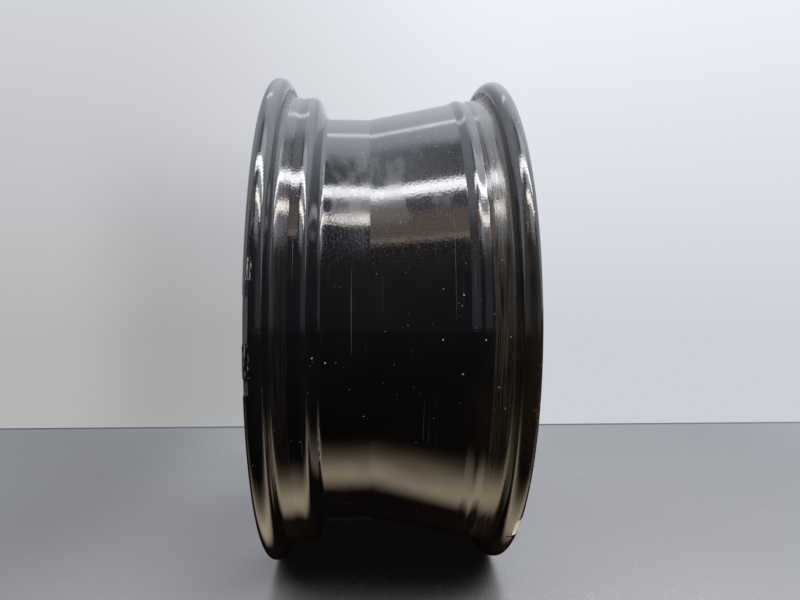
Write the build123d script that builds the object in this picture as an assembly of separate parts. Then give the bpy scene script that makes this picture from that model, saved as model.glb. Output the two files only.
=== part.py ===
from build123d import *

import os
from math import atan, cos, degrees, hypot, pi, radians, sin, tan

# One-piece cast road wheel with a snap-in tyre valve.
# The spin axis is Y, with the street side towards -Y and the vehicle side towards +Y.
# The origin is on the axis, midway between the two flanges. All sizes are in millimetres.

# Rim, driving sizes
seat_dia = 461.8            # bead seat diameter where the seat meets the flange
rim_width = 190.5           # between the bead sides of the two flanges
flange_height = 17.6        # flange top above the bead seat
lip_width = 16.0            # each flange, along the axis
lip_bead_radius = 9.4       # rounding of a flange on the tyre's side
lip_edge_radius = 6.2       # rounding of a flange on its free side
seat_taper = 5.0            # degrees, falling away from the flange
seat_fillet = 6.5           # between bead seat and flange
well_depth = 20.9           # bead seat radius to well radius
wall = 5.8                  # barrel wall
seat_wall = 8.4             # wall under the bead seats

# Rim, places along the axis, each from the bead side of its own flange
seat_out_width = 14.3
hump_out_shoulder = 21.6    # top of the hump's rise from the seat
hump_out_crest = 28.0       # corner between the hump's top and the wall of the well
hump_out_drop = 0.4         # hump's top under the seat radius
hump_out_radius = 8.5
well_out_start = 36.2
well_out_radius = 5.0
well_width = 41.6
barrel_taper = 11.6         # degrees, well to inner hump
hump_in_start = 34.3
hump_in_crest = 26.4
hump_in_drop = 0.7          # crest corner under the seat radius
hump_in_radius = 6.0
groove_in_start = 18.3      # lowest place between the hump and the seat
groove_depth = 1.5
groove_width = 3.8

# Other corner radii of the tyre side
seat_out_end_radius = 2.5   # street side seat to hump
hump_out_shoulder_radius = 3.0
well_end_radius = 1.5       # well to taper
hump_in_foot_radius = 3.0
groove_corner = 2.0
groove_edge = 2.0

# Flange undersides
lip_out_depth = 14.0        # street side ring, from the flange top to its inner edge
lip_out_rake = 3.0          # axial length of the ring's inner edge
lip_out_corner = 0.8
lip_out_foot_radius = 2.0
lip_in_depth = 12.0
lip_in_corner = 2.5
lip_slope = 11.0            # axial length of the slope from lip to barrel
lip_slope_drop = 2.5        # slope's foot over the wall under the seat
lip_slope_radius = 8.0

# Hub side of the barrel
face_setback = 3.0          # street side corner behind the bead side of the flange
face_corner = 12.0
step_radius = 8.0           # under the street side seat, to the slope under the hump
well_corner_out = 9.0
well_corner_in = 12.0
taper_end_radius = 30.0
seat_back_setback = 6.0     # vehicle side corner, from the bead side of the flange
seat_back_radius = 20.0

# Disc
offset = 45.0               # mid-plane to the hub mounting face
pad_radius = 73.0
bore_r = 33.3               # hub centring bore
bore_length = 14.0
bore_chamfer = 1.5
clip_ring_r = 28.5
clip_ring_length = 5.0
front_recess_r = 31.5
front_hub_depth = 34.0      # mounting face to the hub's street face
front_hub_r = 66.0
front_mid_r = 140.0
front_mid_rise = 13.5       # street face at the middle radius, out from the hub's face
front_rim_rise = 22.0       # street face at the barrel, out from the hub's face
back_mid_r = 130.0
back_mid_fall = 21.0        # back of the spokes at that radius, out from the mounting face
back_hub_fall = 5.0
pad_flare = 3.0             # foot of the mounting pad, wider than its face
disc_root = 3.0             # how far the disc's section reaches into the barrel's wall
recess_chamfer = 1.0        # at the street mouths of the hub recess and the bolt sockets

# Spokes, in five pairs
pairs = 5
first_angle = 90.0          # middle of one pair, in degrees from +X towards +Z
pair_gap_hub = 14.0
pair_gap_rim = 36.0
spoke_width_hub = 23.0
spoke_width_rim = 27.0
gap_hub_r = 80.0            # radius at which the hub widths are measured
gap_rim_r = 210.0
wide_window_r = 90.0
narrow_window_r = 102.0
ring_width = 7.5            # ring left between the windows and the seat wall
wide_corner_in = 13.0
wide_corner_out = 15.0
narrow_corner_in = 5.0
narrow_corner_out = 10.0
draft = 3.0                 # degrees
front_edge_radius = 3.0
back_edge_radius = 1.6

# Hollows in the backs of the spokes
web = 5.5
skin = 10.0
hollow_start_r = 112.0
hollow_end_r = 192.0
hollow_corner = 3.0

# Wheel bolts
bolts = 5
pcd = 112.0
bolt_hole_r = 7.5
seat_depth = 13.0           # mounting face to the small end of the conical seat
cone_r = 12.5
cone_half_angle = 30.0
socket_r = 15.0
pad_hollow_span = 24.0      # degrees
pad_hollow_width = 13.0
pad_hollow_depth = 9.0

# Cutting bodies
overrun = 1.0               # past a face that a cut goes through
window_start = 6.0          # behind the mounting face, where the windows have their stated sizes
window_overrun = 18.0       # past the street face at the barrel
edge_reach_in = 12.0        # a window's rounded edges lie this near to its ends
edge_reach_out = 6.0

# Valve hole, in the wall between outer hump and well
valve_angle = 198.0         # degrees from +X towards +Z, in the middle of a wide window
valve_hole_r = 5.75
valve_land = 3.8            # wall left at the hole
valve_spot_r = 10.8
valve_spot_depth = 1.1
valve_recess_r = 10.4
valve_recess_reach = 36.0
valve_spot_reach = 7.0      # cutter's length on the tyre side

# Valve
rubber_clearance = 0.05
valve_head_r = 9.4
valve_head_length = 5.2
valve_head_edge = 1.6       # straight edge of the head
valve_head_bevel = 2.2
valve_bulge_r = 7.6
valve_bulge_length = 3.6
valve_rubber_length = 22.0  # outside the wall
valve_rubber_end_r = 5.2
valve_neck_taper = 6.0      # bulge to stem cover
stem_thread_r = 3.87
stem_root_r = 3.0
stem_proud = 12.0           # thread beyond the rubber
stem_foot = 2.0             # foot of the stem, from the tyre side of the wall
stem_chamfer = 0.6
air_r = 1.5
core_bore_r = 2.5
core_bore_depth = 18.0
core_seat_cone = 1.0
core_cone = 1.6
core_clearance = 0.05
core_below_tip = 1.2
core_length = 14.0
core_pin_r = 0.75
core_pin_length = 1.0
cap_clearance = 0.1
cap_wall = 1.4
cap_length = 13.6
cap_chamfer = 1.2
cap_skirt = 2.0             # plain band below the flutes
cap_flutes = 12
cap_flute_r = 0.55

# Kerb damage on the street side flange, as (angle from +X towards +Z, length, depth)
kerb_tilt = 58.0            # degrees between the ground flats' normal and the wheel's radius
kerb_bites = ((1.1, 35.0, 1.9), (-10.6, 11.0, 1.7))
cutter_width = 30.0
cutter_height = 12.0

# Knock on the vehicle side flange: a flat of bare metal with a crack at its upper end
chip_angle = -44.9
chip_length = 26.0
chip_depth = 1.3
chip_tilt = 36.0            # degrees between the flat's normal and the wheel's radius
crack_width = 1.6
crack_depth = 2.6
crack_length = 11.0

# Sizes that follow
seat_r = seat_dia / 2
flange_r = seat_r + flange_height
well_r = seat_r - well_depth
face_out = -rim_width / 2
face_in = rim_width / 2
edge_out = face_out - lip_width
edge_in = face_in + lip_width
seat_under_r = seat_r - seat_wall
seat_slope = tan(radians(seat_taper))
taper_slope = tan(radians(barrel_taper))
crest_out_y = face_out + hump_out_crest
crest_out_r = seat_r - hump_out_drop
foot_out_y = face_out + well_out_start
steep = (crest_out_r - well_r) / (foot_out_y - crest_out_y)
steep_angle = atan(steep)
well_end_y = foot_out_y + well_width
well_in_r = well_r - wall
valve_r = (crest_out_r + well_r) / 2  # where the valve's axis leaves the tyre side of the wall
pad_y = -offset
hub_front_y = pad_y - front_hub_depth
window_r = seat_under_r - ring_width


def outer_wall_y(radius):
    """Axial place of the tyre side of the wall between outer hump and well."""
    return foot_out_y - (radius - well_r) / steep


def inner_wall_y(radius):
    """The same wall on the hub side."""
    return outer_wall_y(radius) - wall / sin(steep_angle)


def taper_r(y):
    """Radius of the tapered barrel on the tyre side."""
    return well_r + (y - well_end_y) * taper_slope


def turned(face):
    """A section in the XY plane turned round the spin axis."""
    return revolve(face, Axis.Y, 360)


def filleted_section(corners):
    """A closed section from (y, radius, corner radius) triples."""
    points = [(radius, y) for y, radius, _ in corners]
    rounding = [corner for _, _, corner in corners]
    return make_face(FilletPolyline(*points, radius=rounding, close=True))


def rim_section():
    hump_start_y = face_in - hump_in_start
    groove_y = face_in - groove_in_start
    seat_in_y = groove_y + groove_width
    seat_in_r = seat_r - (face_in - seat_in_y) * seat_slope
    seat_out_y = face_out + seat_out_width
    seat_out_r = seat_r - seat_out_width * seat_slope
    taper_wall = wall / cos(radians(barrel_taper))
    tyre_side = [
        (edge_out, flange_r, lip_edge_radius),
        (face_out, flange_r, lip_bead_radius),
        (face_out, seat_r, seat_fillet),
        (seat_out_y, seat_out_r, seat_out_end_radius),
        (face_out + hump_out_shoulder, crest_out_r, hump_out_shoulder_radius),
        (crest_out_y, crest_out_r, hump_out_radius),
        (foot_out_y, well_r, well_out_radius),
        (well_end_y, well_r, well_end_radius),
        (hump_start_y, taper_r(hump_start_y), hump_in_foot_radius),
        (face_in - hump_in_crest, seat_r - hump_in_drop, hump_in_radius),
        (groove_y, seat_in_r - groove_depth, groove_corner),
        (seat_in_y, seat_in_r, groove_edge),
        (face_in, seat_r, seat_fillet),
        (face_in, flange_r, lip_bead_radius),
        (edge_in, flange_r, lip_edge_radius),
    ]
    hub_side = [
        (edge_in, flange_r - lip_in_depth, lip_in_corner),
        (edge_in - lip_slope, seat_under_r + lip_slope_drop, lip_slope_radius),
        (face_in - seat_back_setback, seat_under_r, seat_back_radius),
        (hump_start_y, taper_r(hump_start_y) - taper_wall, taper_end_radius),
        (well_end_y, well_in_r, well_corner_in),
        (inner_wall_y(well_in_r), well_in_r, well_corner_out),
        (inner_wall_y(seat_under_r), seat_under_r, step_radius),
        (face_out + face_setback, seat_under_r, face_corner),
        (edge_out + lip_out_rake, flange_r - lip_out_depth, lip_out_foot_radius),
        (edge_out, flange_r - lip_out_depth, lip_out_corner),
    ]
    return filleted_section(tyre_side + hub_side)


def front_arc(shift):
    """Street face of the spokes in section, moved towards the vehicle by shift."""
    return ThreePointArc(
        (front_hub_r, hub_front_y + shift),
        (front_mid_r, hub_front_y - front_mid_rise + shift),
        (flange_r - lip_out_depth - disc_root, hub_front_y - front_rim_rise + shift),
    )


def disc_section():
    front = front_arc(0)
    buried = [
        (seat_under_r + disc_root, face_out + face_setback),
        (seat_under_r + disc_root, inner_wall_y(seat_under_r)),
        (well_in_r + wall / 2, inner_wall_y(well_in_r) + overrun),
    ]
    back_start = buried[-1]
    pad_foot = (pad_radius + pad_flare, pad_y - back_hub_fall)
    back = ThreePointArc(back_start, (back_mid_r, pad_y - back_mid_fall), pad_foot)
    ring_y = pad_y - bore_length
    clip_y = ring_y - clip_ring_length
    hub = Polyline(
        pad_foot,
        (pad_radius, pad_y),
        (bore_r + bore_chamfer, pad_y),
        (bore_r, pad_y - bore_chamfer),
        (bore_r, ring_y),
        (clip_ring_r, ring_y),
        (clip_ring_r, clip_y),
        (front_recess_r, clip_y),
        (front_recess_r, hub_front_y + recess_chamfer),
        (front_recess_r + recess_chamfer, hub_front_y),
        front @ 0,
    )
    outside = Polyline(front @ 1, *buried)
    return make_face(Wire([*front.edges(), *outside.edges(), *back.edges(), *hub.edges()]))


def spoke_side(across_hub, across_rim, angle, reach):
    """Two points of a spoke's side, turned by an angle in degrees: inside the hub and past the barrel."""
    slope = (across_rim - across_hub) / (gap_rim_r - gap_hub_r)
    turn = radians(angle)
    ends = []
    for along in (0.0, reach):
        across = across_hub + (along - gap_hub_r) * slope
        ends.append((
            along * cos(turn) - across * sin(turn),
            along * sin(turn) + across * cos(turn),
        ))
    return ends


def rounded_window(side_a, side_b, inner_r, outer_r, corner_in, corner_out):
    """Part of a ring between two sides, with rounded corners."""
    wedge = make_face(Polyline(side_a[0], side_a[1], side_b[1], side_b[0], close=True))
    ring = Circle(outer_r) - Circle(inner_r)
    face = (ring & wedge).faces().sort_by(Axis.X)[-1]
    window = Sketch() + face
    split = (inner_r + outer_r) / 2
    inside = [v for v in window.vertices() if hypot(v.X, v.Y) < split]
    window = fillet(inside, corner_in)
    outside = [v for v in window.vertices() if hypot(v.X, v.Y) > split]
    return fillet(outside, corner_out)


def wide_window():
    half = 180.0 / pairs
    low = spoke_side(
        pair_gap_hub / 2 + spoke_width_hub, pair_gap_rim / 2 + spoke_width_rim, -half, flange_r
    )
    high = [(x, -y) for x, y in low]
    return rounded_window(low, high, wide_window_r, window_r, wide_corner_in, wide_corner_out)


def narrow_window():
    low = spoke_side(-pair_gap_hub / 2, -pair_gap_rim / 2, 0, flange_r)
    high = [(x, -y) for x, y in low]
    return rounded_window(
        low, high, narrow_window_r, window_r, narrow_corner_in, narrow_corner_out
    )


def spoke_hollow():
    low = spoke_side(pair_gap_hub / 2 + web, pair_gap_rim / 2 + web, 0, flange_r)
    high = spoke_side(
        pair_gap_hub / 2 + spoke_width_hub - web,
        pair_gap_rim / 2 + spoke_width_rim - web,
        0,
        flange_r,
    )
    return rounded_window(
        low, high, hollow_start_r, hollow_end_r, hollow_corner, hollow_corner
    )


def around(shape, angle):
    """A shape turned round the spin axis, from +X towards +Z."""
    return Rot(0, -angle, 0) * shape


# Sketches of the disc lie on a plane behind it that looks at the street side.
behind = Plane(origin=(0, pad_y + window_start, 0), x_dir=(1, 0, 0), z_dir=(0, -1, 0))
through = window_start + front_hub_depth + front_rim_rise + window_overrun


def disc():
    blank = turned(disc_section())
    wide = extrude(behind * wide_window(), through, taper=-draft)
    narrow = extrude(behind * narrow_window(), through, taper=-draft)
    cuts = []
    for pair in range(pairs):
        pair_angle = first_angle + pair * 360.0 / pairs
        cuts.append(around(narrow, pair_angle))
        cuts.append(around(wide, pair_angle + 180.0 / pairs))
    open_disc = blank - cuts
    return rounded_edges(open_disc)


def rounded_edges(shape):
    """Rounds the windows' edges, street side first."""
    middle_y = hub_front_y + front_hub_depth / 2 - front_rim_rise / 2

    def on_side(edge, front):
        ends = [edge @ 0, edge @ 0.5, edge @ 1]
        radii = [hypot(p.X, p.Z) for p in ends]
        inside = all(wide_window_r - edge_reach_in < r < window_r + edge_reach_out for r in radii)
        if front:
            return inside and all(p.Y < middle_y for p in ends)
        return inside and all(p.Y > middle_y for p in ends)

    shape = fillet([e for e in shape.edges() if on_side(e, True)], front_edge_radius)
    return fillet([e for e in shape.edges() if on_side(e, False)], back_edge_radius)


def spoke_hollows():
    """The hollows behind the spokes, which leave a skin and two webs."""
    shifted = front_arc(skin)
    back = pad_y + overrun
    frame = Polyline(shifted @ 1, ((shifted @ 1).X, back), ((shifted @ 0).X, back), shifted @ 0)
    depth = turned(make_face(Wire([*shifted.edges(), *frame.edges()])))
    one_side = extrude(behind * spoke_hollow(), through)
    one = one_side & depth
    other = mirror(one, Plane.XY)
    cuts = []
    for pair in range(pairs):
        pair_angle = first_angle + pair * 360.0 / pairs
        cuts.append(around(one, pair_angle))
        cuts.append(around(other, pair_angle))
    return cuts


def bolt_cuts():
    """Bolt holes with conical seats and socket recesses, opening towards the street."""
    seat_y = pad_y - seat_depth
    cone_y = seat_y - (cone_r - bolt_hole_r) / tan(radians(cone_half_angle))
    section = make_face(Polyline(
        (0, pad_y + overrun),
        (bolt_hole_r, pad_y + overrun),
        (bolt_hole_r, seat_y),
        (cone_r, cone_y),
        (socket_r, cone_y),
        (socket_r, hub_front_y + recess_chamfer),
        (socket_r + recess_chamfer + front_rim_rise, hub_front_y - front_rim_rise),
        (0, hub_front_y - front_rim_rise),
        close=True,
    ))
    one = Pos(pcd / 2, 0, 0) * turned(section)
    return [around(one, first_angle + bolt * 360.0 / bolts) for bolt in range(bolts)]


def pad_hollows():
    """Curved hollows in the mounting pad between the bolt holes."""
    on_pad = Plane(origin=(0, pad_y, 0), x_dir=(1, 0, 0), z_dir=(0, -1, 0))
    arc = CenterArc((0, 0), pcd / 2, -pad_hollow_span / 2, pad_hollow_span)
    one = extrude(on_pad * SlotArc(arc, pad_hollow_width), pad_hollow_depth)
    middle = first_angle + 180.0 / bolts
    return [around(one, middle + bolt * 360.0 / bolts) for bolt in range(bolts)]


def valve_plane():
    """Origin on the tyre side of the wall, Z along the valve towards the street."""
    turn = radians(valve_angle)
    origin = (valve_r * cos(turn), outer_wall_y(valve_r), valve_r * sin(turn))
    inward = cos(steep_angle)
    z_dir = (-inward * cos(turn), -sin(steep_angle), -inward * sin(turn))
    x_dir = (-sin(turn), 0, cos(turn))
    return Plane(origin=origin, x_dir=x_dir, z_dir=z_dir)


def along_valve(points):
    """A section of (radius, distance) points turned round the valve's own axis."""
    section = Plane.XZ * make_face(Polyline(*points, close=True))
    return valve_plane().location * revolve(section, Axis.Z, 360)


def cylinder_along_valve(radius, start, end):
    return along_valve([(0, start), (radius, start), (radius, end), (0, end)])


def valve_cuts():
    land_end = valve_spot_depth + valve_land
    return [
        cylinder_along_valve(valve_spot_r, -valve_spot_reach, valve_spot_depth),
        cylinder_along_valve(valve_hole_r, -valve_spot_reach, land_end + overrun),
        cylinder_along_valve(valve_recess_r, land_end, land_end + valve_recess_reach),
    ]


def lip_flat(centre, tilt, angle, length, depth):
    """A block that takes a flat off a flange's rounded free edge, centred on an angle of the wheel.

    The centre is that of the rounding in section, as (radius, y). The tilt turns the flat from the
    wheel's radius towards -Y.
    """
    turn = radians(tilt)
    normal = (cos(turn), -sin(turn), 0)
    out = lip_edge_radius - depth
    origin = (centre[0] + out * normal[0], centre[1] + out * normal[1], 0)
    plane = Plane(origin=origin, x_dir=(0, 0, 1), z_dir=normal)
    block = Box(length, cutter_width, cutter_height, align=(Align.CENTER, Align.CENTER, Align.MIN))
    return around(plane.location * block, angle)


def kerb_cuts():
    """Flats ground off the street side flange by a kerb."""
    centre = (flange_r - lip_edge_radius, edge_out + lip_edge_radius)
    return [lip_flat(centre, kerb_tilt, *bite) for bite in kerb_bites]


def chip_cuts():
    """The knocked flat on the vehicle side flange, and the crack across its upper end."""
    centre = (flange_r - lip_edge_radius, edge_in - lip_edge_radius)
    flat = lip_flat(centre, -chip_tilt, chip_angle, chip_length, chip_depth)
    crack_angle = chip_angle + degrees((chip_length - crack_width) / 2 / flange_r)
    turn = radians(chip_tilt)
    out = lip_edge_radius - chip_depth - crack_depth
    origin = (centre[0] + out * cos(turn), centre[1] + out * sin(turn), 0)
    plane = Plane(origin=origin, x_dir=(0, 0, 1), z_dir=(cos(turn), sin(turn), 0))
    block = Box(crack_width, crack_length, cutter_height, align=(Align.CENTER, Align.CENTER, Align.MIN))
    return [flat, around(plane.location * block, crack_angle)]


def rim():
    solid = turned(rim_section()) + disc()
    cuts = spoke_hollows() + bolt_cuts() + pad_hollows() + valve_cuts() + kerb_cuts() + chip_cuts()
    return solid - cuts


def valve_body():
    land_start = valve_spot_depth
    land_end = valve_spot_depth + valve_land
    neck_r = valve_hole_r - rubber_clearance
    bulge_end = land_end + valve_bulge_length
    end = land_end + valve_rubber_length
    return along_valve([
        (air_r, land_start - valve_head_length),
        (valve_head_r - valve_head_bevel, land_start - valve_head_length),
        (valve_head_r, land_start - valve_head_edge),
        (valve_head_r, land_start),
        (neck_r, land_start),
        (neck_r, land_end),
        (valve_bulge_r, land_end),
        (valve_bulge_r, bulge_end),
        (valve_rubber_end_r, bulge_end + valve_neck_taper),
        (valve_rubber_end_r, end),
        (stem_root_r, end),
        (stem_root_r, land_start + stem_foot),
        (air_r, land_start + stem_foot),
    ])


def stem_span():
    """Distances of the stem's foot, shoulder and tip along the valve."""
    foot = valve_spot_depth + stem_foot
    shoulder = valve_spot_depth + valve_land + valve_rubber_length
    return foot, shoulder, shoulder + stem_proud


def valve_stem():
    foot, shoulder, tip = stem_span()
    return along_valve([
        (air_r, foot),
        (stem_root_r, foot),
        (stem_root_r, shoulder),
        (stem_thread_r, shoulder),
        (stem_thread_r, tip - stem_chamfer),
        (stem_thread_r - stem_chamfer, tip),
        (core_bore_r, tip),
        (core_bore_r, tip - core_bore_depth),
        (air_r, tip - core_bore_depth - core_seat_cone),
    ])


def valve_core():
    _, _, tip = stem_span()
    top = tip - core_below_tip
    bottom = tip - core_bore_depth
    body_r = core_bore_r - core_clearance
    return along_valve([
        (0, bottom),
        (air_r - core_clearance, bottom),
        (body_r, bottom + core_cone),
        (body_r, bottom + core_length),
        (core_pin_r, bottom + core_length),
        (core_pin_r, top + core_pin_length),
        (0, top + core_pin_length),
    ])


def valve_cap():
    _, shoulder, tip = stem_span()
    inner_r = stem_thread_r + cap_clearance
    outer_r = inner_r + cap_wall
    end = shoulder + cap_length
    cap = along_valve([
        (inner_r, shoulder),
        (outer_r, shoulder),
        (outer_r, end - cap_chamfer),
        (outer_r - cap_chamfer, end),
        (0, end),
        (0, tip + cap_clearance),
        (inner_r, tip + cap_clearance),
    ])
    flutes = []
    for flute in range(cap_flutes):
        turn = flute * 2 * pi / cap_flutes
        groove = Pos(outer_r * cos(turn), outer_r * sin(turn), shoulder + cap_skirt) * Cylinder(
            cap_flute_r, cap_length, align=(Align.CENTER, Align.CENTER, Align.MIN)
        )
        flutes.append(valve_plane().location * groove)
    return cap - flutes


os.makedirs("parts", exist_ok=True)
for node, shape in (
    ("rim", rim()),
    ("valve_body", valve_body()),
    ("valve_stem", valve_stem()),
    ("valve_core", valve_core()),
    ("valve_cap", valve_cap()),
):
    export_step(shape, f"parts/{node}.step")
    print(node, "solids", len(shape.solids()), "volume", round(shape.volume))
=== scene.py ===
import math

import bpy
from mathutils import Matrix, Vector


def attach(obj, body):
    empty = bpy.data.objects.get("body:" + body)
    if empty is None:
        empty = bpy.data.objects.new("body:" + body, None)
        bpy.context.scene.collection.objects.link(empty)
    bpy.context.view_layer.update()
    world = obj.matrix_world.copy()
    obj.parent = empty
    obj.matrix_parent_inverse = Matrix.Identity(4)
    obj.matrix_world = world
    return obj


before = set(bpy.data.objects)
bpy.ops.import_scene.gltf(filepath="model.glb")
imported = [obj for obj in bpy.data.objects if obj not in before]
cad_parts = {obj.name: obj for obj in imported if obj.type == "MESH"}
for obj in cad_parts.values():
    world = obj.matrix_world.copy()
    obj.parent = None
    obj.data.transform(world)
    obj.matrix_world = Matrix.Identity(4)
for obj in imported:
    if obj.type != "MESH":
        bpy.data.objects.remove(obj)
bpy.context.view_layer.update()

# Lengths are in metres, or in millimetres times MM. The spin axis is Y, and the vehicle is towards +Y.
# A turn is the angle round that axis from +X towards +Z, in degrees.
MM = 0.001
DEGREES = 180 / math.pi      # in one radian


# Node helpers
class Nodes:
    """A node tree, with each node made in one call."""

    def __init__(self, tree):
        self.tree = tree
        tree.nodes.clear()

    def add(self, kind, **settings):
        node = self.tree.nodes.new(kind)
        for name, value in settings.items():
            setattr(node, name, value)
        return node

    def put(self, node, **inputs):
        """Sets a node's inputs, by name or as i0, i1: a socket is linked, and anything else is the value."""
        for name, value in inputs.items():
            by_number = name[0] == "i" and name[1:].isdigit()
            target = node.inputs[int(name[1:]) if by_number else name.replace("_", " ")]
            if isinstance(value, Number):
                value = value.socket
            if isinstance(value, bpy.types.NodeSocket):
                self.tree.links.new(value, target)
            else:
                target.default_value = value
        return node

    def math(self, operation, *values):
        node = self.add("ShaderNodeMath", operation=operation)
        for i, value in enumerate(values):
            self.put(node, **{f"i{i}": value})
        return Number(self, node.outputs[0])

    def length(self, a, b):
        return self.math("SQRT", a * a + b * b)

    def parts(self, vector):
        """The three numbers of a vector socket."""
        split = self.put(self.add("ShaderNodeSeparateXYZ"), Vector=vector)
        return [Number(self, split.outputs[i]) for i in range(3)]

    def object_xyz(self):
        """The place in the object's frame, in metres, as a vector socket and as three numbers."""
        place = self.add("ShaderNodeTexCoord").outputs["Object"]
        return place, self.parts(place)

    def vector(self, x, y, z):
        return self.put(self.add("ShaderNodeCombineXYZ"), X=x, Y=y, Z=z).outputs[0]

    def noise(self, where, scale, detail=2.0, rough=0.5):
        node = self.add("ShaderNodeTexNoise", noise_dimensions="3D")
        self.put(node, Vector=where, Scale=scale, Detail=detail, Roughness=rough)
        return Number(self, node.outputs["Fac"])

    def cells(self, where, scale):
        """Distance to the nearest scattered point, and a random number for each point."""
        node = self.put(self.add("ShaderNodeTexVoronoi", feature="F1"), Vector=where, Scale=scale)
        split = self.put(self.add("ShaderNodeSeparateColor"), Color=node.outputs["Color"])
        return Number(self, node.outputs["Distance"]), Number(self, split.outputs[0])

    def ramp(self, value, low, high, smooth=True):
        """0 below low and 1 above high."""
        node = self.add("ShaderNodeMapRange", interpolation_type="SMOOTHSTEP" if smooth else "LINEAR")
        self.put(node, Value=value, From_Min=low, From_Max=high)
        return Number(self, node.outputs[0])

    def band(self, value, low, high, soft):
        """1 between low and high, falling to 0 over soft on each side."""
        return self.ramp(value, low - soft, low) * (1 - self.ramp(value, high, high + soft))

    def mix(self, fac, a, b):
        """Colour a, going to colour b as fac goes to 1."""
        node = self.add("ShaderNodeMix", data_type="RGBA")
        return self.put(node, i0=fac, i6=a, i7=b).outputs[2]

    def blend(self, fac, a, b):
        """Shader a, going to shader b as fac goes to 1."""
        return self.put(self.add("ShaderNodeMixShader"), i0=fac, i1=a.outputs[0], i2=b.outputs[0])

    def seen_directly(self):
        """1 where the camera looks at the surface itself, and 0 where it is mirrored or gives light."""
        return self.add("ShaderNodeLightPath").outputs["Is Camera Ray"]


class Number:
    """A number socket that formulas can be written with."""

    def __init__(self, nodes, socket):
        self.nodes, self.socket = nodes, socket

    def __add__(self, other):
        return self.nodes.math("ADD", self, other)

    def __radd__(self, other):
        return self.nodes.math("ADD", other, self)

    def __sub__(self, other):
        return self.nodes.math("SUBTRACT", self, other)

    def __rsub__(self, other):
        return self.nodes.math("SUBTRACT", other, self)

    def __mul__(self, other):
        return self.nodes.math("MULTIPLY", self, other)

    def __rmul__(self, other):
        return self.nodes.math("MULTIPLY", other, self)

    def power(self, other):
        return self.nodes.math("POWER", self, other)

    def most(self, other):
        return self.nodes.math("MAXIMUM", self, other)

    def least(self, other):
        return self.nodes.math("MINIMUM", self, other)

    def size(self):
        return self.nodes.math("ABSOLUTE", self)


def grey(value, warm=0.0):
    return (value * (1 + warm), value, value * (1 - warm), 1.0)


def material(name):
    made = bpy.data.materials.new(name)
    made.use_nodes = True
    return made, Nodes(made.node_tree)


def surface(n, colour, roughness, relief, distance, strength, **fixed):
    """A plain surface shader with its colour, roughness and relief."""
    shader = n.put(n.add("ShaderNodeBsdfPrincipled"), Base_Color=colour, Roughness=roughness, **fixed)
    bump = n.put(n.add("ShaderNodeBump"), Strength=strength, Distance=distance, Height=relief)
    n.put(shader, Normal=bump.outputs[0])
    out = n.add("ShaderNodeOutputMaterial")
    n.tree.links.new(shader.outputs[0], out.inputs["Surface"])
    return shader


# Section of the turned surfaces, in mm. First the distances from the middle along the axis.
LIP_FACE = 111.25            # free side of each flange
BEAD_FACE = 95.25            # bead side of each flange
STREET_SEAT_END = 80.95
STREET_HUMP_START = 73.65
STREET_HUMP_END = 67.25      # the steep wall of the well starts here
WELL_START = 59.05
WELL_END = 17.45             # the taper starts here, still on the street side of the middle
TAPER_END = 60.95
VEHICLE_HUMP = 68.85
GROOVE_START = 76.95
GROOVE_END = 80.75
FILM_END = 44.0              # last of the film inside the barrel, on the street side

# Radii, roundings and slopes of the same section
LIP_R = 248.5
SEAT_R = 230.9               # where a seat meets its flange
STREET_HUMP_R = 230.5
VEHICLE_HUMP_R = 230.2
WELL_R = 210.0
FILM_START_R = 237.0         # first of the film, on the street face
LIP_EDGE_ROUND = 6.2
LIP_BEAD_ROUND = 9.4
SEAT_ROUND = 6.5
SEAT_SLOPE = math.tan(math.radians(5.0))
TAPER_SLOPE = math.tan(math.radians(11.6))
GROOVE_DEPTH = 1.5
WALL = 5.8                   # barrel
SEAT_WALL = 8.4              # under the vehicle side seat


def seat_r(y):
    """Radius of a bead seat at this distance from the middle."""
    return SEAT_R - (BEAD_FACE - y) * SEAT_SLOPE


def film_section():
    """Corners (y, radius, rounding) from the street face over the tyre side and back inside the barrel."""
    taper_end_r = WELL_R + (TAPER_END + WELL_END) * TAPER_SLOPE
    taper_inside_r = taper_end_r - WALL * math.hypot(1, TAPER_SLOPE)
    corners = (
        (-LIP_FACE, FILM_START_R, 0.0),
        (-LIP_FACE, LIP_R, LIP_EDGE_ROUND),
        (-BEAD_FACE, LIP_R, LIP_BEAD_ROUND),
        (-BEAD_FACE, SEAT_R, SEAT_ROUND),
        (-STREET_SEAT_END, seat_r(STREET_SEAT_END), 2.5),
        (-STREET_HUMP_START, STREET_HUMP_R, 3.0),
        (-STREET_HUMP_END, STREET_HUMP_R, 8.5),
        (-WELL_START, WELL_R, 5.0),
        (-WELL_END, WELL_R, 1.5),
        (TAPER_END, taper_end_r, 3.0),
        (VEHICLE_HUMP, VEHICLE_HUMP_R, 6.0),
        (GROOVE_START, seat_r(GROOVE_END) - GROOVE_DEPTH, 2.0),
        (GROOVE_END, seat_r(GROOVE_END), 2.0),
        (BEAD_FACE, SEAT_R, SEAT_ROUND),
        (BEAD_FACE, LIP_R, LIP_BEAD_ROUND),
        (LIP_FACE, LIP_R, LIP_EDGE_ROUND),
        (LIP_FACE, LIP_R - 12.0, 2.5),
        (LIP_FACE - 11.0, SEAT_R - SEAT_WALL + 2.5, 8.0),
        (BEAD_FACE - 6.0, SEAT_R - SEAT_WALL, 20.0),
        (TAPER_END, taper_inside_r, 30.0),
        (-WELL_END, WELL_R - WALL, 12.0),
        (-FILM_END, WELL_R - WALL, 0.0),
    )
    return [(y, round(radius, 3), rounding) for y, radius, rounding in corners]


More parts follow.
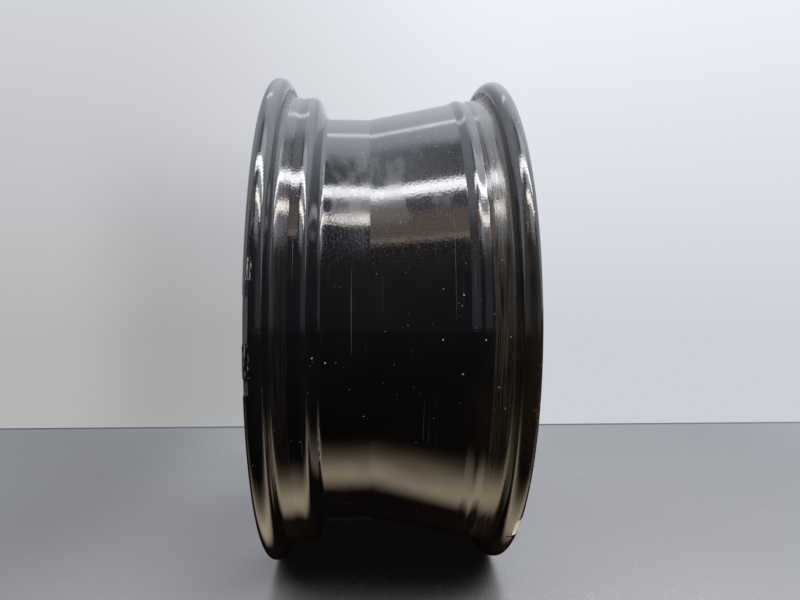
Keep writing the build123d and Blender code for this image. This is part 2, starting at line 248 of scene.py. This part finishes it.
# Marks on the paint, by turn in degrees and by y in mm
GRIT = (                     # turn, y and radius of each grain's mark
    (5.9, 54.7, 0.7), (-3.0, 38.8, 0.8), (-2.8, 70.9, 0.7), (-2.2, 90.0, 0.6), (-9.8, 54.4, 0.9),
    (-12.1, 82.0, 0.7), (-16.4, 87.6, 0.7), (-8.4, -53.0, 1.0), (-6.8, -62.5, 0.8), (20.4, 107.0, 0.9),
)
SCUFFS = (                   # first and last turn, first and last y
    (8.0, 11.4, -109.5, -104.5), (-8.6, -3.2, -112.0, -105.5), (63.0, 68.0, -97.0, -94.8),
    (56.5, 60.5, -97.0, -94.8),
)
GROUND_TURNS = (-12.6, 5.8)
CHIP_TURNS = (-48.4, -41.4)
FRECKLE_TURNS = (-24.0, -14.0)
CRUST_TURNS = (58.0, 90.0)
CRUST_R = (0.2305, 0.2375)   # metres
VEHICLE_STAIN = (79.0, 92.5)
STREET_STAIN = (-92.5, -82.0)
NICK_TURN, NICK_Y = 71.0, -107.0
HAZE_TURNS, HAZE_Y = (25.0, 41.0), (-56.0, 60.0)
SPECK_TURNS = (18.0, 46.0)
GRIT_ARC = 0.0039            # metres in a degree of turn, where the grains lie
ROLLING_R = 0.23             # metres, the radius that lengths along the rolling direction are taken at

# Tones of the paint and of what lies on it
PAINT_COOL = (0.0030, 0.0031, 0.0040, 1)
PAINT_BROWN = (0.0125, 0.0092, 0.0058, 1)
HAZE = (0.55, 0.55, 0.56, 1)
DUST = (0.42, 0.42, 0.40, 1)
NICK = (0.006, 0.005, 0.004, 1)
SCRATCH = (0.30, 0.30, 0.29, 1)
STAIN = (0.050, 0.040, 0.028, 1)
CRUST = (0.040, 0.026, 0.017, 1)
SCUFF = (0.36, 0.35, 0.33, 1)
RUST = (0.11, 0.045, 0.02, 1)
GROUND = ((0.010, 0.009, 0.008, 1), (0.060, 0.050, 0.040, 1))
CHIP = ((0.56, 0.53, 0.45, 1), (0.80, 0.76, 0.67, 1))
# Painted shade for the deepest part of the chip
DEEP_CHIP_SHADE = (0.004, 0.004, 0.004, 1)


class OnRim:
    """Where a point of the paint lies: its place, y and radius in metres, and its turn in degrees."""

    def __init__(self, n):
        self.n = n
        self.place, (x, self.y, z) = n.object_xyz()
        self.r = n.length(x, z)
        self.turn = n.math("ARCTAN2", z, x) * DEGREES
        self.run = self.turn * (ROLLING_R / DEGREES)

    def streaks(self, along, across, detail, rough):
        """Noise drawn out along the rolling direction."""
        where = self.n.vector(self.run * along, self.y * across, self.r * across)
        return self.n.noise(where, 1.0, detail, rough)

    def between(self, low, high, soft):
        """1 between two places along the axis, in mm."""
        return self.n.band(self.y, low * MM, high * MM, soft * MM)


def dust_marks(n, at, patches):
    """Fine dust in patches, scattered grit and the larger grains."""
    far, pick = n.cells(at.place, 240.0)
    fine = (1 - n.ramp(far, 0.05, 0.15)) * n.ramp(pick, 0.74, 0.78) * n.ramp(patches, 0.42, 0.6)
    far, pick = n.cells(at.place, 40.0)
    grit = (1 - n.ramp(far, 0.014, 0.026)) * n.ramp(pick, 0.72, 0.74)
    for turn, y, size in GRIT:
        away = n.length((at.turn - turn) * GRIT_ARC, at.y - y * MM)
        grit = grit.most(1 - n.ramp(away, 0.5 * size * MM, size * MM))
    return (fine * 0.45).most(grit * 0.7)


def corner_crust(n, at):
    """Dirt in the corners between the seats and the flanges, most of it near the top."""
    from_face = (at.y.size() - BEAD_FACE * MM).size()
    corner = (1 - n.ramp(from_face, 2.5 * MM, 8.0 * MM)) * n.band(at.r, *CRUST_R, 2.5 * MM)
    broken = n.ramp(n.noise(at.place, 240.0, 5.0, 0.75), 0.40, 0.58)
    return corner * broken * (n.band(at.turn, *CRUST_TURNS, 8.0) + 0.25 * n.ramp(at.y, 0.0, 0.01))


def seat_stain(n, at):
    """Streaky brown marks on the seats, fainter on the street side."""
    seats = at.between(*VEHICLE_STAIN, 2.0) + at.between(*STREET_STAIN, 2.0) * 0.35
    return seats * n.ramp(at.streaks(26.0, 900.0, 4.0, 0.7), 0.40, 0.66)


def flange_scuffs(n, at):
    """Scuffs on the street flange, broken up into short strokes."""
    strokes = n.ramp(at.streaks(90.0, 900.0, 3.0, 0.7), 0.53, 0.6)
    scuff = Number(n, 0.0)
    for first, last, low, high in SCUFFS:
        scuff = scuff.most(n.band(at.turn, first, last, 0.4) * at.between(low, high, 0.4) * strokes)
    return scuff


def cut_faces(n, at):
    """The ground flats, the chip, and painted shade where the chip is cut deepest. They lie inside the
    rounding of a flange's free edge.
    """
    inward = at.r - (LIP_R - LIP_EDGE_ROUND) * MM
    centre_y = (LIP_FACE - LIP_EDGE_ROUND) * MM
    street = n.length(inward, at.y + centre_y)
    vehicle = n.length(inward, at.y - centre_y)
    depth = (LIP_EDGE_ROUND - 0.25) * MM
    ground = (1 - n.ramp(street, depth - 0.1 * MM, depth)) * n.band(at.turn, *GROUND_TURNS, 0.1)
    chipped = (1 - n.ramp(vehicle, depth - 0.1 * MM, depth)) * n.band(at.turn, *CHIP_TURNS, 0.1)
    # Painted shade: where the chip is cut deepest, it is drawn near black.
    deep_chip_shade = (1 - n.ramp(vehicle, 4.3 * MM, 4.7 * MM)) * chipped
    return ground, chipped, deep_chip_shade


def flange_nick(n, at):
    """A small dark nick near the top of the street flange."""
    across = (at.turn - NICK_TURN) * (LIP_R * MM / DEGREES)
    return 1 - n.ramp(n.length(across, at.y - NICK_Y * MM), 1.3 * MM, 2.4 * MM)


def wiped_haze(n, at):
    """Haze left by a wipe, high on the well and the taper."""
    smears = n.noise(n.vector(at.run * 16.0 + at.y * 9.0, at.y * 34.0, at.run * 3.0), 1.0, 3.0, 0.55)
    zone = n.band(at.turn, *HAZE_TURNS, 5.0) * at.between(*HAZE_Y, 6.0)
    return zone * n.ramp(smears, 0.50, 0.62) * (0.55 + 0.9 * n.noise(at.place, 900.0, 2.0, 0.7))


def rim_paint():
    """Gloss black paint with its fine waves, turning lines, dust, dirt, scratches and damage."""
    made, n = material("gloss_black_paint")
    at = OnRim(n)
    cloud = n.noise(at.place, 9.0, 4.0, 0.6)
    patches = n.noise(at.place, 38.0, 4.0, 0.65)
    lines = at.streaks(14.0, 700.0, 4.0, 0.6)
    vehicle_half = n.ramp(at.y, 0.05, 0.095)

    dust = dust_marks(n, at, patches)
    crust = corner_crust(n, at)
    stain = seat_stain(n, at)
    scuff = flange_scuffs(n, at)
    ground, chipped, deep_chip_shade = cut_faces(n, at)
    nick = flange_nick(n, at)
    haze = wiped_haze(n, at)
    specks = n.band(at.turn, *SPECK_TURNS, 8.0) * n.ramp(n.noise(at.place, 700.0, 3.0, 0.75), 0.54, 0.66)
    scratch = n.ramp(at.streaks(5.0, 1500.0, 3.0, 0.6), 0.67, 0.71)
    scratch = scratch * n.ramp(n.noise(at.place, 14.0, 2.0), 0.52, 0.6)
    freckle = n.band(at.turn, *FRECKLE_TURNS, 3.0) * n.ramp(at.y, 0.1065, 0.108)
    freckle = freckle * n.ramp(n.noise(at.place, 420.0, 3.0, 0.7), 0.56, 0.62)
    metal = n.ramp(n.noise(at.place, 300.0, 4.0, 0.7), 0.3, 0.7)

    # Black, a little blue towards the street and browner where dirt lies towards the vehicle.
    brown = (0.15 + 0.85 * vehicle_half) * n.ramp(cloud, 0.35, 0.65)
    colour = n.mix(brown, PAINT_COOL, PAINT_BROWN)
    layers = (
        (haze * 0.040 + specks * 0.05, HAZE),
        (dust, DUST),
        (nick, NICK),
        (scratch * 0.22, SCRATCH),
        (stain * 0.55, STAIN),
        (crust * 0.85, CRUST),
        (scuff * 0.5, SCUFF),
        (freckle * 0.8, RUST),
        (ground, n.mix(metal, *GROUND)),
        (chipped, n.mix(metal, *CHIP)),
        # painted shade in the deepest part of the chip
        (deep_chip_shade, DEEP_CHIP_SHADE),
    )
    for amount, tone in layers:
        colour = n.mix(amount, colour, tone)

    rough = 0.05 + 0.05 * n.ramp(lines, 0.35, 0.75) + 0.05 * n.ramp(patches, 0.45, 0.75)
    rough = rough + 0.10 * vehicle_half * n.ramp(cloud, 0.4, 0.65)
    rough = rough + 0.2 * scratch + 0.5 * dust + 0.14 * stain + 0.08 * haze
    rough = rough.most((scuff + freckle + crust).least(1.0) * 0.55)
    rough = rough.most(ground * 0.5).most(nick * 0.75).most(chipped * 0.6)

    waves = n.noise(at.place, 420.0, 2.0, 0.45)
    grain = n.noise(at.place, 1500.0, 2.0, 0.6)
    fine_lines = at.streaks(220.0, 1900.0, 3.0, 0.65)
    relief = waves + grain * 0.25 + fine_lines * 0.34 + lines * 0.3
    relief = relief + dust * 1.5 + crust * 2.0 + stain * 0.5 - scuff * 1.5 - scratch * 0.6
    relief = relief + (ground + chipped) * metal
    surface(n, colour, rough, relief, distance=0.09 * MM, strength=0.6, IOR=1.5)
    return made


def rubber():
    made, n = material("valve_rubber")
    place, _ = n.object_xyz()
    cloud = n.noise(place, 180.0, 4.0, 0.6)
    grain = n.noise(place, 2400.0, 2.0, 0.6)
    colour = n.mix(n.ramp(cloud, 0.3, 0.75), (0.012, 0.012, 0.012, 1), (0.05, 0.048, 0.045, 1))
    surface(n, colour, 0.55 + 0.25 * cloud, grain + cloud, distance=0.08 * MM, strength=0.6)
    return made


def brass():
    made, n = material("valve_brass")
    place, _ = n.object_xyz()
    cloud = n.noise(place, 260.0, 4.0, 0.6)
    colour = n.mix(n.ramp(cloud, 0.3, 0.7), (0.62, 0.46, 0.20, 1), (0.30, 0.21, 0.10, 1))
    surface(n, colour, 0.25 + 0.3 * cloud, cloud, distance=0.04 * MM, strength=0.5, Metallic=1.0)
    return made


def cap_plastic():
    made, n = material("cap_plastic")
    place, _ = n.object_xyz()
    cloud = n.noise(place, 240.0, 4.0, 0.6)
    grain = n.noise(place, 3000.0, 2.0)
    colour = n.mix(n.ramp(cloud, 0.35, 0.75), (0.014, 0.014, 0.015, 1), (0.045, 0.043, 0.04, 1))
    surface(n, colour, 0.36 + 0.2 * cloud, grain, distance=0.05 * MM, strength=0.5)
    return made


# Paint film over the turned surfaces, in mm and degrees
FILM = 0.4                   # thickness over the metal
FILM_STEPS = 400             # round the wheel
FLANGE_GAP_R = 238.5         # the gaps at the flanges lie outside this radius,
STREET_GAP_Y = -105.0        # and beyond these places along the axis
VEHICLE_GAP_Y = 101.0
GROUND_GAPS = ((-12.6, -8.6), (-3.5, 5.7))
CHIP_GAP = (-48.7, -41.1)
VALVE_TURN = 198.0
VALVE_GAP_R = 11.4           # from the valve's axis
VALVE_WALL_Y = (-72.0, -54.0)    # its gap lies between these places along the axis,
VALVE_WALL_R = 208.0         # and outside this radius


def rounded_section(corners, most_turn=6.0, most_length=5.0):
    """Points (y, radius, outward y, outward radius) along the section with its roundings."""
    corners = [(Vector(c[:2]), c[2]) for c in corners]
    knots = []
    for i, (corner, rounding) in enumerate(corners):
        if i in (0, len(corners) - 1):
            other = corners[1][0] if i == 0 else corners[-2][0]
            way = (other - corner if i == 0 else corner - other).normalized()
            knots.append((corner, way))
            continue
        before = (corner - corners[i - 1][0]).normalized()
        after = (corners[i + 1][0] - corner).normalized()
        bend = before.angle_signed(after)
        reach = rounding * math.tan(abs(bend) / 2)
        first = corner - before * reach
        left = -1 if bend > 0 else 1
        side = Vector((-before.y, before.x)) * left
        centre = first + side * rounding
        count = max(1, math.ceil(math.degrees(abs(bend)) / most_turn))
        for k in range(count + 1):
            way = Matrix.Rotation(-bend * k / count, 2) @ before
            out = Vector((-way.y, way.x)) * left
            knots.append((centre - out * rounding, way))
    points = []
    for (a, way_a), (b, way_b) in zip(knots, knots[1:]):
        count = max(1, math.ceil((b - a).length / most_length))
        for k in range(count):
            points.append((a.lerp(b, k / count), way_a.lerp(way_b, k / count).normalized()))
    points.append(knots[-1])
    return [(p.x, p.y, -way.y, way.x) for p, way in points]


def on_circle(y, radius, angle):
    """A point at this angle round the spin axis, in radians."""
    return (radius * math.cos(angle), y, radius * math.sin(angle))


def valve_axis():
    """A point on the valve's axis, in mm, and its direction, square to the steep wall of the well."""
    slope = (STREET_HUMP_R - WELL_R) / (STREET_HUMP_END - WELL_START)
    steep = math.atan(slope)
    middle_r = (STREET_HUMP_R + WELL_R) / 2
    middle_y = -WELL_START - (middle_r - WELL_R) / slope
    angle = math.radians(VALVE_TURN)
    way = on_circle(-math.sin(steep), -math.cos(steep), angle)
    return Vector(on_circle(middle_y, middle_r, angle)), Vector(way)


def film_is_open(y, radius, turn, axis):
    """True where the film leaves out a ground flat, the chip or the valve's spot face."""
    if radius > FLANGE_GAP_R and y < STREET_GAP_Y:
        return any(low < turn < high for low, high in GROUND_GAPS)
    if radius > FLANGE_GAP_R and y > VEHICLE_GAP_Y:
        return CHIP_GAP[0] < turn < CHIP_GAP[1]
    if radius > VALVE_WALL_R and VALVE_WALL_Y[0] < y < VALVE_WALL_Y[1]:
        start, way = axis
        point = Vector(on_circle(y, radius, math.radians(turn)))
        return (point - start).cross(way).length < VALVE_GAP_R
    return False


def paint_film(look):
    """A skin of paint over the turned surfaces, with the fine facets that gloss needs."""
    line = rounded_section(film_section())
    vertices, faces = [], []
    for y, radius, out_y, out_r in line:
        for k in range(FILM_STEPS):
            point = on_circle(y + FILM * out_y, radius + FILM * out_r, 2 * math.pi * k / FILM_STEPS)
            vertices.append([c * MM for c in point])
    axis = valve_axis()
    for i in range(len(line) - 1):
        y = (line[i][0] + line[i + 1][0]) / 2
        radius = (line[i][1] + line[i + 1][1]) / 2
        row, next_row = i * FILM_STEPS, (i + 1) * FILM_STEPS
        for k in range(FILM_STEPS):
            turn = (360 * (k + 0.5) / FILM_STEPS + 180) % 360 - 180
            if film_is_open(y, radius, turn, axis):
                continue
            j = (k + 1) % FILM_STEPS
            faces.append((row + k, row + j, next_row + j, next_row + k))
    mesh = bpy.data.meshes.new("paint_film")
    mesh.from_pydata(vertices, [], faces)
    mesh.shade_smooth()
    mesh.materials.append(look)
    film = bpy.data.objects.new("paint_film", mesh)
    bpy.context.scene.collection.objects.link(film)
    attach(film, "root")


paint = rim_paint()
looks = {
    "rim": paint,
    "valve_body": rubber(),
    "valve_stem": brass(),
    "valve_core": brass(),
    "valve_cap": cap_plastic(),
}
for name, look in looks.items():
    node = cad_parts[name]
    node.data.materials.clear()
    node.data.materials.append(look)
paint_film(paint)


# Floor
FLOOR_Z = -LIP_R * MM
FLOOR_BACK = -0.66           # its far edge
FLOOR_REACH = 2.6            # to the front and to the sides
UNLIT = 0.003


def floor_tone(n, place, x, y):
    """Plain grey with faint wipe marks and a dark far edge, with painted light and shade: lighter to the
    front and darker to the sides.
    """
    # Painted light: the floor is drawn lighter towards the front.
    tone = n.mix(n.ramp(x, -0.5, 0.45, smooth=False), grey(0.185, 0.02), grey(0.235, 0.012))
    curl = n.noise(place, 5.0, 2.0) * 3.0
    wipe = n.noise(n.vector(x * 30.0 + y * 18.0, y * 30.0 - x * 9.0, curl), 1.0, 2.0, 0.6)
    wipe = n.band(wipe, 0.497, 0.503, 0.004) * n.ramp(n.noise(place, 4.0, 2.0), 0.5, 0.6)
    cloud = n.noise(place, 2.2, 3.0, 0.5)
    tone = n.mix(wipe * 0.12 + cloud * 0.08, tone, grey(0.60))
    tone = n.mix(1 - n.ramp(x, FLOOR_BACK + 0.012, FLOOR_BACK + 0.02), tone, grey(0.03))
    # Painted shade: the floor is drawn darker towards both sides.
    side_shade = n.ramp(y, 0.15, 0.75) * 0.22 + (1 - n.ramp(y, -0.44, -0.20)) * 0.34
    return n.mix(side_shade, tone, grey(0.02))


def warm_glow(n, place, x, y):
    """Soft light on the floor in front of the wheel, for the wheel and not for the camera."""
    glow = n.ramp(x, 0.114, 0.164) * (1 - n.ramp(x, 0.160, 0.275)).power(1.9)
    glow = glow * (0.6 + 0.8 * n.noise(place, 22.0, 2.0))
    return glow * (1 - 0.7 * n.ramp(y.size(), 0.10, 0.30))


def stage_floor():
    """A smooth grey floor. What the wheel mirrors of it is dark, apart from the warm glow."""
    made, n = material("table_top")
    place, (x, y, _) = n.object_xyz()
    brushed = n.noise(n.vector(x * 9.0, y * 420.0, 0.0), 1.0, 3.0, 0.6)
    smudge = n.noise(place, 14.0, 4.0, 0.6)
    rough = 0.20 + 0.06 * brushed + 0.06 * smudge
    seen = surface(n, floor_tone(n, place, x, y), rough, brushed, distance=0.2 * MM, strength=0.03,
                   Metallic=0.45, Specular_Tint=grey(0.5), Specular_IOR_Level=0.1)

    # Under the wheel, between its flanges, hardly any light reaches the floor.
    sky = n.put(n.add("ShaderNodeAmbientOcclusion", samples=8), Distance=0.35).outputs["AO"]
    shadow = n.put(n.add("ShaderNodeEmission"), Color=grey(1.0), Strength=UNLIT)
    seen = n.blend(n.ramp(sky, 0.26, 0.56), shadow, seen)
    glow = warm_glow(n, place, x, y) * 2.6 + UNLIT
    mirrored = n.put(n.add("ShaderNodeEmission"), Color=(1.0, 0.82, 0.58, 1), Strength=glow)
    both = n.blend(n.seen_directly(), mirrored, seen)
    n.tree.links.new(both.outputs[0], n.tree.nodes["Material Output"].inputs["Surface"])

    left, right = -FLOOR_REACH, FLOOR_REACH
    edges = ((FLOOR_BACK, left), (FLOOR_REACH, left), (FLOOR_REACH, right), (FLOOR_BACK, right))
    mesh = bpy.data.meshes.new("table_top")
    mesh.from_pydata([(x, y, FLOOR_Z) for x, y in edges], [], [(0, 1, 2, 3)])
    mesh.materials.append(made)
    table = bpy.data.objects.new("table_top", mesh)
    bpy.context.scene.collection.objects.link(table)


# Light. A direction has a turn, and a side, which is the angle that it leans towards +Y, in degrees.
def mirrored_room(n, turn, side):
    """Brightness and colour of what the gloss mirrors: light behind and above, dark in front and below."""
    wide = side.size()
    behind = n.ramp(turn + 6 * n.ramp(side, -8, -1), 98, 108)

    low = 0.055 + 0.35 * n.ramp(wide, 18, 45) * n.ramp(turn, -50, 10) + 0.02 * n.ramp(turn, -10, 40)
    back = behind * (2.7 - 1.85 * n.ramp(turn, 110, 150, smooth=False)) * (1 - 0.5 * n.ramp(wide, 35, 70))
    back = back * (0.55 + 0.45 * n.ramp(side, -24, 4))
    white_edge = n.band(turn, 120, 122, 1.0) * n.band(side, -14, 2, 2) * 3.0
    top = n.ramp(turn, 48, 75) * (1 - behind) * (0.62 + 1.1 * n.ramp(wide, 4, 16))
    day = n.band(turn, 45, 88, 14) * n.ramp(side, -2, 6) * (1 - n.ramp(side, 22, 44)) * 4.0
    warm_block = n.band(turn, 45, 58, 0.8) * n.band(side, -30, -7, 1.5)
    pale_edge = n.band(turn, 41.6, 43.6, 0.6) * n.band(side, -30, -7, 1.5)

    light = ((low + back + white_edge + top).most(1.5 * warm_block) + day).most(3.4 * pale_edge)
    return light, n.mix(warm_block.most(pale_edge), (0.91, 0.965, 1.07, 1), (1.0, 0.80, 0.66, 1))


def seen_wall(n, side, z):
    """A plain pale wall with painted light and shade: lighter to the right and to the top, with the wheel's
    soft shadow painted on its left.
    """
    # Painted light: the wall is drawn lighter to the top and to the right.
    up = n.ramp(z, -0.05, 0.42, smooth=False)
    left = n.mix(up, (0.46, 0.46, 0.462, 1), (0.655, 0.665, 0.71, 1))
    right = n.mix(up, (0.605, 0.625, 0.665, 1), (0.86, 0.885, 0.935, 1))
    wall = n.mix(n.ramp(side, -20, 14), left, right)
    # Painted shadow of the wheel on the wall.
    shade = 0.16 * n.band(side, -16, -8, 9) * n.band(z, -0.14, 0.06, 0.2)
    return n.mix(shade, wall, grey(0.0))


def room_light():
    """The wall that the camera sees, and the room that lights the wheel and shows in its gloss."""
    world = bpy.data.worlds.new("room")
    bpy.context.scene.world = world
    world.use_nodes = True
    n = Nodes(world.node_tree)
    x, y, z = n.parts(n.add("ShaderNodeTexCoord").outputs["Generated"])
    turn = n.math("ARCTAN2", z, x) * DEGREES
    side = n.math("ARCSINE", y) * DEGREES
    light, colour = mirrored_room(n, turn, side)
    mirrored = n.put(n.add("ShaderNodeBackground"), Color=colour, Strength=light)
    seen = n.put(n.add("ShaderNodeBackground"), Color=seen_wall(n, side, z), Strength=1.0)
    both = n.blend(n.seen_directly(), mirrored, seen)
    n.tree.links.new(both.outputs[0], n.add("ShaderNodeOutputWorld").inputs["Surface"])


def lamp(name, place, shift, size, brightness, colour):
    """A flat lamp that faces the spin axis and is shifted along it. Its size is across and along."""
    data = bpy.data.lights.new(name, "AREA")
    data.shape = "RECTANGLE"
    data.size, data.size_y = size
    data.energy = brightness * size[0] * size[1] * math.pi
    data.color = colour
    obj = bpy.data.objects.new(name, data)
    away = Vector(place).normalized()
    along = Vector((0, 1, 0))
    facing = Matrix((along.cross(away), along, away)).transposed().to_4x4()
    obj.matrix_world = Matrix.Translation(Vector(place) + along * shift) @ facing
    obj.visible_camera = False
    bpy.context.scene.collection.objects.link(obj)
    return obj


def overhead(turn, distance):
    return on_circle(0.0, distance, math.radians(turn))


# Camera, fitted to the outline of the wheel in the photo
CAMERA_AT = (0.72636, -0.02238, 0.02064)
RIGHT, UP, AHEAD = 0, 1, 2
CAMERA_TURNS = ((UP, -3.13961), (RIGHT, -0.16645), (AHEAD, -0.14076))
FOCAL_PIXELS = 655.1
PICTURE_WIDTH = 800
SENSOR = 36.0


def camera():
    """The photo's camera, a little above the middle of the wheel and to the left of it."""
    data = bpy.data.cameras.new("photo_camera")
    data.sensor_width = SENSOR
    data.lens = FOCAL_PIXELS / PICTURE_WIDTH * SENSOR
    data.clip_start, data.clip_end = 0.01, 20.0
    axes = [Vector((0, 1, 0)), Vector((0, 0, 1)), Vector((-1, 0, 0))]
    for about, angle in CAMERA_TURNS:
        turn = Matrix.Rotation(math.radians(angle), 3, axes[about])
        axes = [turn @ axis for axis in axes]
    facing = Matrix((axes[RIGHT], axes[UP], -axes[AHEAD])).transposed().to_4x4()
    obj = bpy.data.objects.new("photo_camera", data)
    obj.matrix_world = Matrix.Translation(CAMERA_AT) @ facing
    bpy.context.scene.collection.objects.link(obj)
    bpy.context.scene.camera = obj


stage_floor()
room_light()
lamp("white_tube", overhead(67.2, 1.9), shift=0.55, size=(0.22, 2.7), brightness=19.0,
     colour=(0.98, 0.99, 1.0))
lamp("warm_tube", overhead(51.5, 2.1), shift=0.80, size=(0.20, 1.9), brightness=19.0,
     colour=(1.0, 0.93, 0.86))
fill = lamp("soft_fill", (3.0, 0.0, 1.15), shift=0.2, size=(3.4, 3.4), brightness=1.6,
            colour=(1.0, 0.985, 0.96))
fill.visible_glossy = False
camera()
bpy.context.scene.view_settings.view_transform = "Standard"
